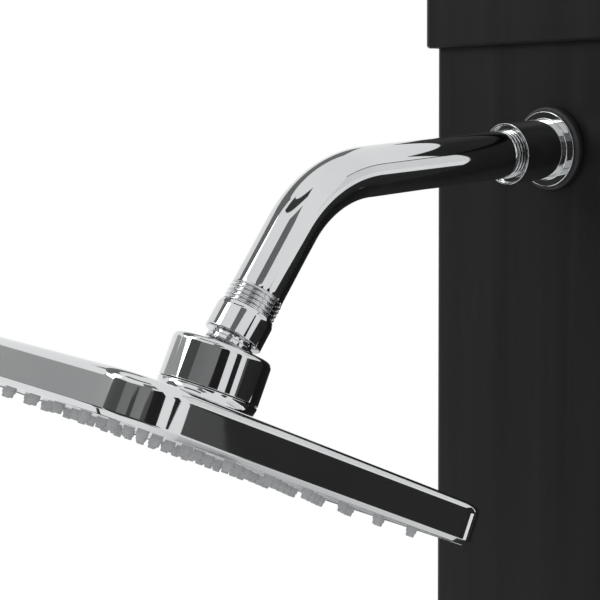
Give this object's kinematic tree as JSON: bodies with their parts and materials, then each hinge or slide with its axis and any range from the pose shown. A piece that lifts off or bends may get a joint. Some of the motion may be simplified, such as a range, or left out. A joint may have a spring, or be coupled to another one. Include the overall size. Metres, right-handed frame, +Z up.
{
  "type": "outdoor shower post",
  "caption": "Free-standing square outdoor shower column with tank, bent chromed arm, swivelling square head, lever mixer and foot tap.",
  "frame": {"origin": "middle of the foot plate's underside, on the ground", "axes": "+Z up along the column, -Y to the front where the arm points, +X to the right seen from the front"},
  "size_m": [0.23, 0.4607, 2.15],
  "materials": {
    "charcoal_shell": "satin",
    "charcoal_metal": "satin powder coat",
    "chrome": "polished",
    "chromed_shell": "chrome-plated moulding",
    "black_rubber": "matt",
    "grey_rubber": "matt",
    "white_plastic": "satin",
    "face_plastic": "satin",
    "brass": "machined",
    "steel": "brushed"
  },
  "bodies": {
    "post": {"base_plate": "charcoal_metal", "bottom_plug": "charcoal_shell", "lower_tank": "charcoal_shell", "tank_coupling": "charcoal_shell", "coupling_seal_lower": "black_rubber", "coupling_seal_upper": "black_rubber", "upper_tank": "charcoal_shell", "top_plug": "charcoal_shell", "top_cap": "charcoal_shell", "pipe_spacer_lower": "white_plastic", "pipe_spacer_upper": "white_plastic", "cold_pipe": "white_plastic", "riser_pipe": "white_plastic", "hot_pipe": "white_plastic", "inlet_pipe": "white_plastic", "cold_tee": "brass", "riser_elbow": "brass", "arm_gasket": "black_rubber", "wall_socket": "chrome", "socket_washer": "black_rubber", "socket_lock_nut": "brass", "shower_arm": "chrome", "ball_stem": "chrome", "stem_filter": "black_rubber", "mixer_body": "brass", "mixer_washer": "black_rubber", "mixer_gasket": "black_rubber", "mixer_rosette": "chrome", "mixer_cartridge": "white_plastic", "cartridge_nut": "chrome", "foot_tap_gasket": "black_rubber", "foot_tap_body": "chrome", "foot_tap_lock_nut": "brass", "foot_tap_spout": "chrome", "hose_connector": "brass", "inlet_seal": "black_rubber", "inlet_lock_nut": "brass", "drain_plug": "brass", "drain_seal": "black_rubber", "drain_nut": "brass"},
    "nod_ring": {"ball_cup": "white_plastic"},
    "roll_ring": {"ball_seal": "black_rubber"},
    "head": {"ball_nut": "chrome", "head_shell": "chromed_shell", "face_plate": "face_plastic", "nozzle_mat": "grey_rubber"},
    "mixer_turret": {"cartridge_turret": "white_plastic"},
    "mixer_handle": {"mixer_spindle": "steel", "mixer_lever": "chrome"},
    "foot_tap_handle": {"foot_tap_ball": "steel", "foot_tap_stem": "brass", "foot_tap_lever": "chrome", "foot_tap_lever_nut": "steel"}
  },
  "joints": [
    {"name": "head_nod", "type": "hinge", "parent": "post", "child": "nod_ring", "pos_m": [0, -0.2583, 1.98318], "axis": [1, 0, 0], "range_deg": [-24, 3]},
    {"name": "head_roll", "type": "hinge", "parent": "nod_ring", "child": "roll_ring", "pos_m": [0, -0.2583, 1.98318], "axis": [0, 0.9026, -0.4305], "range_deg": [-10, 10]},
    {"name": "head_spin", "type": "hinge", "parent": "roll_ring", "child": "head", "pos_m": [0, -0.2583, 1.98318], "axis": [0, 0.4305, 0.9026], "continuous": true},
    {"name": "mixer_turn", "type": "hinge", "parent": "post", "child": "mixer_turret", "pos_m": [0, -0.09, 1.17], "axis": [0, -1, 0], "range_deg": [-45, 45]},
    {"name": "mixer_lift", "type": "hinge", "parent": "mixer_turret", "child": "mixer_handle", "pos_m": [0, -0.09, 1.17], "axis": [-1, 0, 0], "range_deg": [0, 25]},
    {"name": "foot_tap_turn", "type": "hinge", "parent": "post", "child": "foot_tap_handle", "pos_m": [0, -0.1, 0.2], "axis": [0, 0, -1], "range_deg": [0, 90]}
  ]
}
